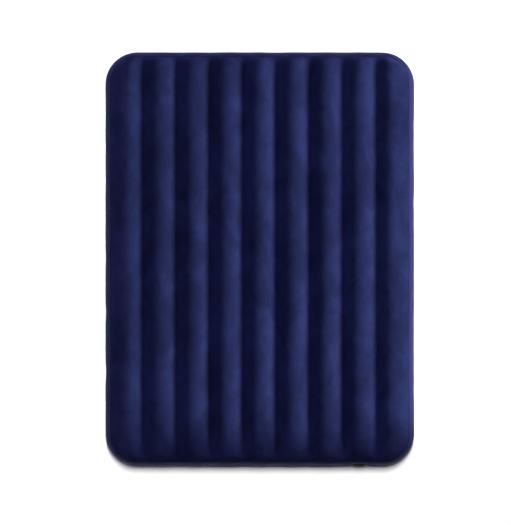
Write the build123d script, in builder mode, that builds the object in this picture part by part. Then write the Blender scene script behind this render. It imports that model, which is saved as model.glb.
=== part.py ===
from build123d import *
import os
from math import ceil

# A nine-channel air mattress, inflated. A quilted top sheet and bottom sheet are held to the same
# waves by eight upright I-beams, and a bulged band closes the sides. A screw valve in the foot-end
# wall fills the mattress through a small port with a check flap, and empties it through a wide neck.
#
# Millimetres. The origin is on the floor under the middle of the mattress, +X runs across the bed,
# +Y to the head end, +Z up. The valve has a frame of its own: x across, y up, z outward.

# Air chamber
channel_count = 9
channel_pitch = 162.7  # from seam to seam
chamber_length = 1986.0  # between the perimeter welds at the head and the foot
corner_radius = 133.0  # of the perimeter weld, in plan
mattress_height = 220.0
crown_rise = 30.0  # of a channel's crest above its seams
floor_squash = 2.0  # how far the floor flattens each lower crest
end_headroom = 2.0  # how far the edge roll's own crest would stand above the channels
side_bulge = 22.0  # of the wall beyond the perimeter weld
weld_width = 8.0
film = 0.6

# I-beams
beam_film = 0.5
beam_end_gap = 60.0  # lets air past each end of a beam
beam_end_hollow = 25.0  # depth of the curved cut in a beam's end

# Valve dish and base. Heights are outward from the floor of the dish.
valve_channel = 3  # how many channels right of the middle one
dish_depth = 9.0
dish_margin = 4.0  # around the base's flange
patch_margin = 2.0
patch_film = 0.8
neck_wall = 3.0
neck_mouth = 3.0
neck_foot = -11.0
base_flange = 1.6
base_flange_width = 14.5

# Screw plug
plug_radius = 23.0
plug_wall = 2.0
plug_floor = 1.8
thread_pitch = 5.0
thread_height = 1.2
thread_foot = 2.6  # width of the ridge where it leaves the plug
thread_crest = 1.2
thread_low = -7.0  # where the ridge begins
thread_turns = 1.0
thread_clearance = 0.3
turns_to_free = 2.5  # how far the plug turns before it leaves the neck
gasket_thickness = 1.0
gasket_width = 3.8
seal_gap = 0.1
shoulder = 0.8
shoulder_width = 4.0
slot_height = 1.4  # of the groove that the retaining ring turns in
slot_floor_width = 2.0
running_gap = 0.3
grip_width = 6.5
grip_thickness = 2.5
grip_notches = 24
notch_radius = 1.1
edge_round = 0.6
port_radius = 9.2  # takes an 18 mm pump nozzle
port_wall = 1.8

# Retainer between the neck and the plug
loop_width = 2.6
loop_height = 1.5
loop_gap = 0.15
ring_width = 4.7
strap_width = 7.0
strap_root = 8.5  # from the neck out to where the strap leaves its loop and its ring
strap_fold = 6.0  # from there to the outside of the strap's bend

# Inflation cap
cap_thickness = 1.5
cap_gap = 0.4
cap_seal = 1.1
cap_seal_margin = 0.8
cap_strap_width = 10.0
cap_strap_film = 0.6
cap_strap_overlap = 5.5
tab_width = 9.0
tab_length = 15.5
tab_thickness = 0.9
tab_setback = 2.0  # of the tab's end from the edge of the grip

# Check flap
flap_thickness = 0.8
flap_margin = 2.3
hinge_rise = 4.6  # from the edge of the port up to the hinge pin
pin_radius = 1.0
pin_fit = 0.06
knuckle_radius = 1.9
knuckle_width = 10.0
ear_thickness = 2.0
ear_margin = 0.5

# What follows from those
chamber_width = channel_count * channel_pitch
channel_places = [channel_pitch * (i - (channel_count - 1) / 2) for i in range(channel_count)]
seam_places = [channel_pitch * (i - channel_count / 2) for i in range(1, channel_count)]
half_weld = weld_width / 2
top_seam = mattress_height - crown_rise
bottom_seam = crown_rise - floor_squash
mid_height = (top_seam + bottom_seam) / 2
top_weld = top_seam - film  # the face where the sheet meets what is welded to it
bottom_weld = bottom_seam + film
base_edge = (Align.CENTER, Align.MIN)

neck_bore = plug_radius + thread_clearance
neck_radius = neck_bore + thread_height + neck_wall
base_flange_radius = neck_radius + base_flange_width
dish_radius = base_flange_radius + dish_margin
gasket_radius = plug_radius + gasket_width
shoulder_radius = plug_radius + shoulder_width
slot_radius = plug_radius + slot_floor_width
grip_radius = plug_radius + grip_width
gasket_low = neck_mouth + seal_gap
shoulder_low = gasket_low + gasket_thickness
slot_low = shoulder_low + shoulder
slot_high = slot_low + slot_height
grip_high = slot_high + grip_thickness
plug_foot = neck_mouth - turns_to_free * thread_pitch
plug_bore = plug_radius - plug_wall
cap_low = grip_high - cap_thickness
port_lip = cap_low - cap_seal - seal_gap
cap_radius = plug_bore - cap_gap
strap_film = slot_height - 2 * running_gap
strap_joint = neck_radius + strap_root
strap_reach = strap_joint + strap_fold
ring_low = slot_low + running_gap
loop_low = patch_film + loop_gap
flap_hinge = port_radius + hinge_rise
hinge_depth = plug_foot - running_gap - knuckle_radius

outward = Vector(0, -1, 0)
upward = Vector(0, 0, 1)
dish_floor = chamber_length / 2 + side_bulge - dish_depth
valve_place = Vector(valve_channel * channel_pitch, -dish_floor, mid_height)
valve_axis = Axis(valve_place, outward)
valve_plane = Plane(valve_place, x_dir=(1, 0, 0), z_dir=outward)
turning_plane = Plane(valve_place, x_dir=(1, 0, 0), z_dir=-upward)  # x from the axis, y outward
strap_plane = Plane(valve_place, x_dir=-upward, z_dir=(-1, 0, 0))  # x down, y outward
hinge_plane = Plane(valve_place, x_dir=upward, z_dir=(1, 0, 0))  # x up, y outward


def arc_radius(half_chord, rise):
    """The radius of an arc, from its half chord and its rise."""
    return (half_chord**2 + rise**2) / (2 * rise)


channel_arc = arc_radius(channel_pitch / 2 - half_weld, crown_rise)
roll_arc = arc_radius(corner_radius - half_weld, crown_rise + end_headroom)
wall_arc = arc_radius((top_weld - bottom_weld) / 2 - film, side_bulge + half_weld)


def around_rim(section):
    """Carry a section round the perimeter: four straight runs, and a quarter turn at each corner.

    The section's x is the distance outside the perimeter weld, and its y is the height.
    """
    with BuildPart() as rim:
        for quarter in range(4):
            away = Vector(1, 0, 0).rotate(Axis.Z, 90 * quarter)
            along = Vector(0, 1, 0).rotate(Axis.Z, 90 * quarter)
            reach = (chamber_width, chamber_length)[quarter % 2] / 2
            half_run = (chamber_length, chamber_width)[quarter % 2] / 2 - corner_radius
            with BuildSketch(Plane(away * reach, x_dir=away, z_dir=-along)):
                add(section)
            extrude(amount=half_run, both=True)
            hub = away * (reach - corner_radius) + along * half_run
            with BuildSketch(Plane(hub + away * corner_radius, x_dir=away, z_dir=-along)):
                add(section)
            revolve(axis=Axis(hub, upward), revolution_arc=90)
    return rim.part


def crown(inset):
    """The dome above the top weld, with its waves and its edge roll taken in by an inset."""
    base = top_weld - inset
    roll_crest = mattress_height + end_headroom
    with BuildSketch() as roll:
        with Locations((-corner_radius, roll_crest - roll_arc)):
            Circle(roll_arc - inset)
        with Locations((-corner_radius, base)):
            Rectangle(corner_radius, roll_crest, align=Align.MIN, mode=Mode.INTERSECT)
            Rectangle(corner_radius + half_weld, film, align=Align.MIN)
    edge_roll = around_rim(roll.sketch)
    with BuildPart() as pad:
        add(edge_roll)
        with BuildSketch(Plane.XY.offset(base)):
            Rectangle(chamber_width - 2 * corner_radius, chamber_length - 2 * corner_radius)
        extrude(amount=roll_crest - inset - base)
    with BuildPart() as dome:
        with BuildSketch(Plane.XZ):
            with Locations(*[(x, mattress_height - channel_arc) for x in channel_places]):
                Circle(channel_arc - inset)
            with Locations((0, base)):
                Rectangle(chamber_width, mattress_height, align=base_edge, mode=Mode.INTERSECT)
                Rectangle(chamber_width + 4 * weld_width, film, align=base_edge)
        extrude(amount=chamber_length / 2 + 2 * weld_width, both=True)
        add(pad, mode=Mode.INTERSECT)
    return dome.part


def floor_side(inset):
    """The same dome turned over, and cut flat where the mattress rests."""
    dome = crown(inset)
    with BuildPart() as lower:
        mirror(dome, about=Plane.XY.offset(mid_height))
        split(bisect_by=Plane.XY.offset(inset), keep=Keep.TOP)
    return lower.part


def wall(inset):
    """The space inside the bulged wall and its dish, taken in by an inset; the middle is open."""
    inner_edge = -corner_radius / 2 - inset
    with BuildSketch() as bulge:
        with Locations((side_bulge - wall_arc, mid_height)):
            Circle(wall_arc - inset)
        with Locations((inner_edge, bottom_weld - inset)):
            Rectangle(
                side_bulge - inner_edge,
                top_weld - bottom_weld + 2 * inset,
                align=Align.MIN,
                mode=Mode.INTERSECT,
            )
    bulged_rim = around_rim(bulge.sketch)
    with BuildPart() as space:
        add(bulged_rim)
        with Locations(valve_plane.offset(-inset)):
            Cone(
                dish_radius,
                dish_radius + 2 * dish_depth + inset,
                2 * dish_depth + inset,
                align=(Align.CENTER, Align.CENTER, Align.MIN),
                mode=Mode.SUBTRACT,
            )
    return space.part


def ring_section(inner, outer, low, high):
    """Draw the section of a ring on the turning plane, from two radii and two heights."""
    with Locations((inner, low)):
        Rectangle(outer - inner, high - low, align=Align.MIN)


def thread(low, turns, clearance):
    """The screw thread as a ridge on the plug or, with a clearance, as the groove that it runs in."""
    start = valve_place + outward * low
    foot = thread_foot / 2 + clearance
    crest = thread_crest / 2 + clearance
    height = thread_height + clearance
    with BuildPart() as ridge:
        with BuildLine() as climb:
            Helix(thread_pitch, turns * thread_pitch, plug_radius, center=start, direction=outward)
        begin = climb.line @ 0
        across = (begin - start).normalized()
        with BuildSketch(Plane(begin, x_dir=across, z_dir=across.cross(outward))):
            with BuildLine():
                Polyline(
                    (-plug_wall / 2, -foot),
                    (0, -foot),
                    (height, -crest),
                    (height, crest),
                    (0, foot),
                    (-plug_wall / 2, foot),
                    close=True,
                )
            make_face()
        sweep(path=climb.line, is_frenet=True)
    return ridge.part


def finish(piece, name):
    """Label a finished piece and write it."""
    piece.part.label = name
    export_step(piece.part, f"parts/{name}.step")


os.makedirs("parts", exist_ok=True)

# Sheets: the top sheet's crown, and the same crown turned over for the bottom sheet. Each ends in a
# flat lip that is welded to the side band's lip.
top_outside = crown(0)
top_inside = crown(film)
with BuildPart() as top_sheet:
    add(top_outside)
    add(top_inside, mode=Mode.SUBTRACT)
finish(top_sheet, "top_sheet")

bottom_outside = floor_side(0)
bottom_inside = floor_side(film)
with BuildPart() as bottom_sheet:
    add(bottom_outside)
    add(bottom_inside, mode=Mode.SUBTRACT)
finish(bottom_sheet, "bottom_sheet")

# Side band: a bulged strip with a lip at each edge and a round dish for the valve.
with BuildSketch() as lips:
    for lip_low in (top_weld - film, bottom_weld):
        with Locations((-half_weld - film, lip_low)):
            Rectangle(weld_width + film, film, align=Align.MIN)
band_lips = around_rim(lips.sketch)
band_outside = wall(0)
band_inside = wall(film)
with BuildPart() as side_band:
    add(band_outside)
    add(band_inside, mode=Mode.SUBTRACT)
    add(band_lips)
    with BuildSketch(valve_plane):
        Circle(neck_radius + running_gap)
    extrude(amount=-2 * film, mode=Mode.SUBTRACT)
finish(side_band, "side_band")

# I-beams: an upright web under each seam, with a flange welded to each sheet.
beam_run = chamber_length - 2 * beam_end_gap
web_half = (top_weld - bottom_weld) / 2 - beam_film
for number, place in enumerate(seam_places, start=1):
    with BuildPart() as beam:
        with BuildSketch(Plane.YZ.offset(place)):
            with Locations((0, mid_height)):
                Rectangle(beam_run, 2 * web_half)
            end_arc = arc_radius(web_half, beam_end_hollow)
            hollow_places = beam_run / 2 - beam_end_hollow + end_arc
            with Locations((-hollow_places, mid_height), (hollow_places, mid_height)):
                Circle(end_arc, mode=Mode.SUBTRACT)
        extrude(amount=beam_film / 2, both=True)
        for flange_low in (bottom_weld, top_weld - beam_film):
            with BuildSketch(Plane.XY.offset(flange_low)):
                with Locations((place, 0)):
                    Rectangle(weld_width, beam_run)
            extrude(amount=beam_film)
    finish(beam, f"i_beam_{number}")

# Valve base: a flange welded inside the band, and a neck with the plug's groove cut through it, one
# turn after another.
groove_low = thread_low - thread_pitch
groove_turns = ceil((neck_mouth + thread_foot - groove_low) / thread_pitch)
groove = [thread(groove_low + i * thread_pitch, 1, thread_clearance) for i in range(groove_turns)]
with BuildPart() as valve_base:
    with BuildSketch(turning_plane):
        ring_section(neck_bore, neck_radius, neck_foot, neck_mouth)
        ring_section(neck_bore, base_flange_radius, -film - base_flange, -film)
    revolve(axis=valve_axis)
    for turn in groove:
        add(turn, mode=Mode.SUBTRACT)
finish(valve_base, "valve_base")

with BuildPart() as valve_patch:
    with BuildSketch(turning_plane):
        ring_section(neck_radius + running_gap, dish_radius - patch_margin, 0, patch_film)
    revolve(axis=valve_axis)
finish(valve_patch, "valve_patch")

# Retainer: a loop held round the neck, a ring that the plug turns in, and the folded strap between.
loop_inner = neck_radius + loop_gap
ring_inner = slot_radius + running_gap
half_fold = (ring_low + strap_film - loop_low) / 2
for name, inner, width, low, height in (
    ("neck_loop", loop_inner, loop_width, loop_low, loop_height),
    ("swivel_ring", ring_inner, ring_width, ring_low, strap_film),
):
    with BuildPart() as retainer:
        with BuildSketch(turning_plane):
            ring_section(inner, inner + width, low, low + height)
        revolve(axis=valve_axis)
        with BuildSketch(strap_plane):
            ring_section(inner + width / 2, strap_joint, low, low + strap_film)
        extrude(amount=strap_width / 2, both=True)
    finish(retainer, name)

with BuildPart() as plug_tether:
    with BuildSketch(strap_plane):
        for fold in (half_fold, half_fold - strap_film):
            with Locations((strap_reach - half_fold, loop_low + half_fold)):
                Circle(fold, mode=Mode.ADD if fold == half_fold else Mode.SUBTRACT)
                Rectangle(
                    strap_reach - half_fold - strap_joint,
                    2 * fold,
                    align=(Align.MAX, Align.CENTER),
                    mode=Mode.ADD if fold == half_fold else Mode.SUBTRACT,
                )
    extrude(amount=strap_width / 2, both=True)
finish(plug_tether, "plug_tether")

# Screw plug: a cup with one turn of thread, a notched grip, the inflation port and the flap's ears.
ear_low = hinge_depth - knuckle_radius - ear_margin
ear_half = knuckle_radius + ear_margin
ridge = thread(thread_low, thread_turns, 0)
with BuildPart() as valve_plug:
    with BuildSketch(turning_plane):
        ring_section(plug_bore, plug_radius, plug_foot, shoulder_low)
        ring_section(plug_bore, shoulder_radius, shoulder_low, slot_low)
        ring_section(plug_bore, slot_radius, slot_low, slot_high)
        ring_section(plug_bore, grip_radius, slot_high, grip_high)
        ring_section(port_radius, plug_radius, plug_foot, plug_foot + plug_floor)
        ring_section(port_radius, port_radius + port_wall, plug_foot, port_lip)
        grip_corners = vertices().sort_by(Axis.X)[-2:]
        fillet(grip_corners, edge_round)
    revolve(axis=valve_axis)
    with BuildSketch(valve_plane.offset(slot_high)):
        with PolarLocations(grip_radius, grip_notches):
            Circle(notch_radius)
    extrude(amount=grip_thickness, mode=Mode.SUBTRACT)
    add(ridge)
    for side in (-1, 1):
        ear_face = side * (knuckle_width / 2 + running_gap)
        with BuildSketch(hinge_plane.offset(ear_face)):
            with Locations((flap_hinge, ear_low)):
                Rectangle(2 * ear_half, plug_foot - ear_low + plug_floor / 2, align=base_edge)
            with Locations((flap_hinge, hinge_depth)):
                Circle(pin_radius + pin_fit, mode=Mode.SUBTRACT)
        extrude(amount=side * ear_thickness)
finish(valve_plug, "valve_plug")

with BuildPart() as plug_gasket:
    with BuildSketch(turning_plane):
        ring_section(plug_radius, gasket_radius, gasket_low, shoulder_low)
    revolve(axis=valve_axis)
finish(plug_gasket, "plug_gasket")

# Inflation cap: a lid in the cup's mouth with a thumb tab below, a seal on the port and a strap above.
tab_low = grip_high + running_gap
tab_reach = grip_radius - tab_setback
with BuildPart() as inflation_cap:
    with BuildSketch(valve_plane.offset(cap_low)):
        Circle(cap_radius)
    extrude(amount=cap_thickness)
    with BuildSketch(valve_plane.offset(grip_high)):
        with Locations((0, -tab_reach)):
            Rectangle(tab_width, tab_length, align=base_edge)
        Circle(cap_radius, mode=Mode.INTERSECT)
    extrude(amount=running_gap)
    with BuildSketch(valve_plane.offset(tab_low)):
        with Locations((0, -tab_reach)):
            Rectangle(tab_width, tab_length, align=base_edge)
        fillet(vertices().sort_by(Axis.Y)[:2], tab_width / 3)
    extrude(amount=tab_thickness)
finish(inflation_cap, "inflation_cap")

with BuildPart() as port_seal:
    with BuildSketch(valve_plane.offset(cap_low)):
        Circle(port_radius + port_wall + cap_seal_margin)
    extrude(amount=-cap_seal)
finish(port_seal, "port_seal")

with BuildPart() as cap_strap:
    strap_ends = (cap_radius - cap_strap_overlap, plug_bore + cap_strap_overlap)
    with BuildSketch(hinge_plane):
        ring_section(*strap_ends, grip_high, grip_high + cap_strap_film)
    extrude(amount=cap_strap_width / 2, both=True)
finish(cap_strap, "cap_strap")

# Check flap: a disc under the port that hangs from a pin between the plug's ears.
flap_high = plug_foot - seal_gap
with BuildPart() as check_flap:
    with BuildSketch(valve_plane.offset(flap_high)):
        Circle(port_radius + flap_margin)
        Rectangle(knuckle_width, flap_hinge, align=base_edge)
    extrude(amount=-flap_thickness)
    with BuildSketch(hinge_plane):
        with Locations((flap_hinge, hinge_depth)):
            Circle(knuckle_radius)
    extrude(amount=knuckle_width / 2, both=True)
    with BuildSketch(hinge_plane):
        with Locations((flap_hinge, hinge_depth)):
            Circle(pin_radius + pin_fit)
    extrude(amount=knuckle_width, both=True, mode=Mode.SUBTRACT)
finish(check_flap, "check_flap")

with BuildPart() as flap_pin:
    with BuildSketch(hinge_plane):
        with Locations((flap_hinge, hinge_depth)):
            Circle(pin_radius)
    extrude(amount=knuckle_width / 2 + running_gap + ear_thickness, both=True)
finish(flap_pin, "flap_pin")
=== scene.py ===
"""The looks of an inflated, flocked air mattress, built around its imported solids.

The mattress skin is one inflated form: a flocked top sheet and a bottom sheet that eight beams pull
into nine channels, and a bulged vinyl band with a moulded dish for the valve. Metres; the origin is
on the floor under the middle of the bed, +Y runs to the head end and the valve is in the foot end.
"""

import logging
import math
import time
from dataclasses import dataclass, field
from enum import Enum

import bmesh
import bpy
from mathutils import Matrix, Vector, noise


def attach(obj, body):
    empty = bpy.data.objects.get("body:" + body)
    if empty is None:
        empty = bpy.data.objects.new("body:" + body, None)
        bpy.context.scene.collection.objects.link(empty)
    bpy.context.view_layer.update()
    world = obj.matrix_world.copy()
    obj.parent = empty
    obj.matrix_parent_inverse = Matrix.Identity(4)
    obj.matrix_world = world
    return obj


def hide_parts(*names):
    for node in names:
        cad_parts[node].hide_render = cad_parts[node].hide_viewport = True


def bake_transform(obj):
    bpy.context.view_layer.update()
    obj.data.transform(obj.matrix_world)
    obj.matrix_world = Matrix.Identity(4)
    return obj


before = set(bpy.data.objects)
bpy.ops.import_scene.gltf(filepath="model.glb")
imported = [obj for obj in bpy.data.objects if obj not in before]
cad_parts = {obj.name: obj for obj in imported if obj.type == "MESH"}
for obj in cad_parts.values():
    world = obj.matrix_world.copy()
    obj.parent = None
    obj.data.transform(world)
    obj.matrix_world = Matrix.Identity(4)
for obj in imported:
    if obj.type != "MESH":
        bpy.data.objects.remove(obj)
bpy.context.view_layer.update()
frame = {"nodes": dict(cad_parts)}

TINY = 1e-6

Colour = tuple[float, float, float]
Form = bmesh.types.BMesh
Material = bpy.types.Material
Node = bpy.types.Node
Piece = bpy.types.Object
Socket = bpy.types.NodeSocket
Sockets = bpy.types.bpy_prop_collection
Tree = bpy.types.NodeTree

logging.basicConfig(level=logging.INFO, format="%(message)s")
log = logging.getLogger("air_mattress")


class Body(Enum):
    """The frame's bodies that the new pieces ride on."""

    MATTRESS = "mattress"
    RETAINER = "retainer"
    SCREW_PLUG = "screw_plug"
    CAP = "cap"


class Slot(Enum):
    """The record's material slots."""

    FLOCKED_TOP = "flocked_top"
    BAND_VINYL = "band_vinyl"
    BOTTOM_VINYL = "bottom_vinyl"
    BEAM_VINYL = "beam_vinyl"
    VALVE_PLASTIC = "valve_plastic"
    CAP_PLASTIC = "cap_plastic"
    RETAINER_PLASTIC = "retainer_plastic"
    PIN_PLASTIC = "pin_plastic"
    SEAL_RUBBER = "seal_rubber"


class Region(Enum):
    """The parts of the inflated form, as marks on its faces."""

    TOP = 1
    BAND = 2
    BOTTOM = 3


# --------------------------------------------------------------------------------------- node tools


def fill(tree: Tree, node: Node, inputs: dict[str | int, object]) -> None:
    """Fill a node's inputs.

    Args:
        tree: the node's tree.
        node: the node.
        inputs: by name or number, a socket to link, or a plain value or colour to set.
    """
    for name, value in inputs.items():
        if isinstance(value, Socket):
            tree.links.new(value, node.inputs[name])
        elif node.inputs[name].type == "RGBA":
            node.inputs[name].default_value = (*value, 1.0)
        else:
            node.inputs[name].default_value = value


def add_node(
    tree: Tree, kind: str, inputs: dict[str | int, object] | None = None, **settings: object
) -> Sockets:
    """Add a shader node, set it up and fill its inputs.

    Args:
        tree: the tree that takes the node.
        kind: the node's type name, after "ShaderNode".
        inputs: what its inputs take, as fill wants it.
        settings: the node's own attributes.

    Returns:
        The new node's outputs.
    """
    node = tree.nodes.new(f"ShaderNode{kind}")
    for name, value in settings.items():
        setattr(node, name, value)
    fill(tree, node, inputs or {})
    return node.outputs


def maths(tree: Tree, operation: str, *values: Socket | float) -> Socket:
    """Work on sockets or numbers with a math node, and return the result's socket."""
    return add_node(tree, "Math", dict(enumerate(values)), operation=operation)[0]


def noise_of(
    tree: Tree, vector: Socket, scale: Socket | float, detail: float, rough: float, bent: float = 0
) -> Socket:
    """Add a noise texture, and return its value's socket."""
    inputs = {"Vector": vector, "Scale": scale, "Detail": detail}
    return add_node(tree, "TexNoise", {**inputs, "Roughness": rough, "Distortion": bent})[0]


def stepped(
    tree: Tree, value: Socket, low: Socket | float, high: Socket | float, least: float = 0.0
) -> Socket:
    """Ease from the least value at one bound to 1 at the other, and return the result's socket."""
    inputs = {"Value": value, "From Min": low, "From Max": high, "To Min": least}
    return add_node(tree, "MapRange", inputs, interpolation_type="SMOOTHSTEP")[0]


def ranged(tree: Tree, value: Socket, low: float, high: float) -> Socket:
    """Carry a value of 0 to 1 to a range, and return its socket."""
    return add_node(tree, "MapRange", {"Value": value, "To Min": low, "To Max": high})[0]


def mixed(
    tree: Tree, mask: Socket | float, low: Socket | Colour, high: Socket | Colour, way: str = "MIX"
) -> Socket:
    """Mix two colours.

    Args:
        tree: the tree that takes the node.
        mask: 0 for the first colour and 1 for the second.
        low: the first colour.
        high: the second colour.
        way: how the second colour is laid on the first.

    Returns:
        The mixed colour's socket.
    """
    inputs = {0: mask, 6: low, 7: high}
    return add_node(tree, "Mix", inputs, data_type="RGBA", blend_type=way)[2]


def new_group(
    name: str, numbers: dict[str, float], results: tuple[str, ...]
) -> tuple[Tree, Sockets, Node]:
    """Start a shader node group that is fed a vector and some numbers.

    Args:
        name: the group's name.
        numbers: its number inputs with their defaults.
        results: its number outputs.

    Returns:
        The group, the sockets that it is fed by, and the node that takes its results.
    """
    group = bpy.data.node_groups.new(name, "ShaderNodeTree")
    new_socket = group.interface.new_socket
    new_socket("Vector", in_out="INPUT", socket_type="NodeSocketVector")
    for label, default in numbers.items():
        socket = new_socket(label, in_out="INPUT", socket_type="NodeSocketFloat")
        socket.default_value = default
    for label in results:
        new_socket(label, in_out="OUTPUT", socket_type="NodeSocketFloat")
    fed = group.nodes.new("NodeGroupInput").outputs
    return group, fed, group.nodes.new("NodeGroupOutput")


def nap_group() -> Tree:
    """Build the brushed nap of flock: soft marks along the bed, and the fibres' own grain.

    Returns:
        A group with Vector, Mark Size, Stretch and Fibre Size inputs, and Nap, Mottle, Fibre and
        Height outputs.
    """
    group, fed, end = new_group(
        "flock_nap",
        {"Mark Size": 9.0, "Stretch": 0.4, "Fibre Size": 1400.0},
        ("Nap", "Mottle", "Fibre", "Height"),
    )
    lean = add_node(group, "CombineXYZ", {"X": 1.0, "Y": fed["Stretch"], "Z": 1.0})[0]
    along = add_node(group, "VectorMath", {0: fed["Vector"], 1: lean}, operation="MULTIPLY")[0]
    broad = noise_of(group, along, fed["Mark Size"], 5.0, 0.58, 0.35)
    fibres = noise_of(group, fed["Vector"], fed["Fibre Size"], 2.0, 0.7)
    pile = noise_of(group, along, 110.0, 4.0, 0.6)
    results = {
        "Nap": stepped(group, broad, 0.34, 0.66),
        "Mottle": noise_of(group, along, 34.0, 3.0, 0.6),
        "Fibre": fibres,
        "Height": maths(group, "MULTIPLY_ADD", fibres, 0.45, pile),
    }
    fill(group, end, results)
    return group


def grain_group() -> Tree:
    """Build the grain of moulded or rolled plastic: fine pits, a faint cloudiness and rubbed spots.

    Returns:
        A group with Vector, Grain Size and Cloud Size inputs, and Grain, Cloud and Scuff outputs.
    """
    group, fed, end = new_group(
        "plastic_grain", {"Grain Size": 900.0, "Cloud Size": 14.0}, ("Grain", "Cloud", "Scuff")
    )
    fine = {"Vector": fed["Vector"], "Scale": fed["Grain Size"], "Smoothness": 0.4}
    spot_size = maths(group, "MULTIPLY", fed["Cloud Size"], 5.0)
    rubbed = noise_of(group, fed["Vector"], spot_size, 6.0, 0.7, 1.2)
    results = {
        "Grain": add_node(group, "TexVoronoi", fine, feature="SMOOTH_F1")["Distance"],
        "Cloud": noise_of(group, fed["Vector"], fed["Cloud Size"], 4.0, 0.6),
        "Scuff": stepped(group, rubbed, 0.56, 0.74),
    }
    fill(group, end, results)
    return group


def heat_seal_group() -> Tree:
    """Build the crossed ribs that a heated die presses into a weld.

    Returns:
        A group with Vector and Pitch inputs, and a Height output.
    """
    group, fed, end = new_group("heat_seal", {"Pitch": 0.003}, ("Height",))
    turns = maths(group, "DIVIDE", 2 * math.pi, fed["Pitch"])
    phase = add_node(group, "VectorMath", {0: fed["Vector"], "Scale": turns}, operation="SCALE")[0]
    x, y, z = add_node(group, "SeparateXYZ", {0: phase})
    ribs = [maths(group, "SINE", wave) for wave in (x, maths(group, "ADD", y, z))]
    fill(group, end, {"Height": maths(group, "MULTIPLY", *ribs)})
    return group


def pucker_group() -> Tree:
    """Build the upright puckers that a stretched band shows next to its welds.

    Returns:
        A group with Vector, Spacing, Middle, Calm and Reach inputs, and a Height output.
    """
    group, fed, end = new_group(
        "weld_puckers",
        {"Spacing": 0.025, "Middle": 0.109, "Calm": 0.03, "Reach": 0.08},
        ("Height",),
    )
    upright = {0: fed["Vector"], 1: (1.0, 1.0, 0.14)}
    drawn = add_node(group, "VectorMath", upright, operation="MULTIPLY")[0]
    folds = noise_of(group, drawn, maths(group, "DIVIDE", 1.0, fed["Spacing"]), 2.0, 0.45, 0.25)
    height = add_node(group, "SeparateXYZ", {0: fed["Vector"]})["Z"]
    away = maths(group, "ABSOLUTE", maths(group, "SUBTRACT", height, fed["Middle"]))
    near = stepped(group, away, fed["Calm"], fed["Reach"], 0.12)
    fill(group, end, {"Height": maths(group, "MULTIPLY", folds, near)})
    return group


def blank_material(name: str) -> tuple[Material, Node]:
    """Make a material with one Principled shader, and return both."""
    material = bpy.data.materials.new(name)
    material.use_nodes = True
    return material, material.node_tree.nodes["Principled BSDF"]


def placed(tree: Tree, group: Tree, values: dict[str, float]) -> Sockets:
    """Put a node group into a material, fed with object coordinates, and return its outputs."""
    where = add_node(tree, "TexCoord")["Object"]
    return add_node(tree, "Group", {"Vector": where, **values}, node_tree=group)


# ----------------------------------------------------------------------------------------- finishes


@dataclass(frozen=True)
class Effects:
    """The node groups that the finishes share."""

    nap: Tree
    grain: Tree
    seal: Tree
    puckers: Tree


@dataclass(frozen=True)
class Flock:
    """Short nylon pile on vinyl, brushed into soft marks."""

    name: str
    shade: Colour
    sheen_colour: Colour
    depth: float = 0.74
    mottle: float = 0.32
    fibre_spread: float = 0.28
    smoothest: float = 0.82
    sheen: float = 0.5
    sheen_roughness: float = 0.52
    specular: float = 0.0
    mark_size: float = 8.0
    stretch: float = 0.6
    fibre_size: float = 1500.0
    pile_height: float = 0.0011
    relief: float = 0.55

    def build(self, effects: Effects) -> Material:
        """Make the material.

        Args:
            effects: the shared node groups.

        Returns:
            The material.
        """
        material, shader = blank_material(self.name)
        tree = material.node_tree
        sizes = {"Mark Size": self.mark_size, "Stretch": self.stretch}
        marks = placed(tree, effects.nap, {**sizes, "Fibre Size": self.fibre_size})
        low, high = (
            tuple(c * part for c in self.shade) for part in (self.depth, 2.0 - self.depth)
        )
        colour = mixed(tree, marks["Nap"], low, high)
        for mark, spread in (("Mottle", self.mottle), ("Fibre", self.fibre_spread)):
            patches = mixed(tree, marks[mark], (1 - spread,) * 3, (1 + spread,) * 3)
            colour = mixed(tree, 1.0, colour, patches, "MULTIPLY")
        relief = {"Distance": self.pile_height, "Strength": self.relief}
        inputs = {
            "Base Color": colour,
            "Roughness": ranged(tree, marks["Fibre"], self.smoothest, 1.0),
            "Specular IOR Level": self.specular,
            "Sheen Weight": self.sheen,
            "Sheen Roughness": self.sheen_roughness,
            "Sheen Tint": self.sheen_colour,
            "Normal": add_node(tree, "Bump", {"Height": marks["Height"], **relief})[0],
        }
        fill(tree, shader, inputs)
        return material


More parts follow.
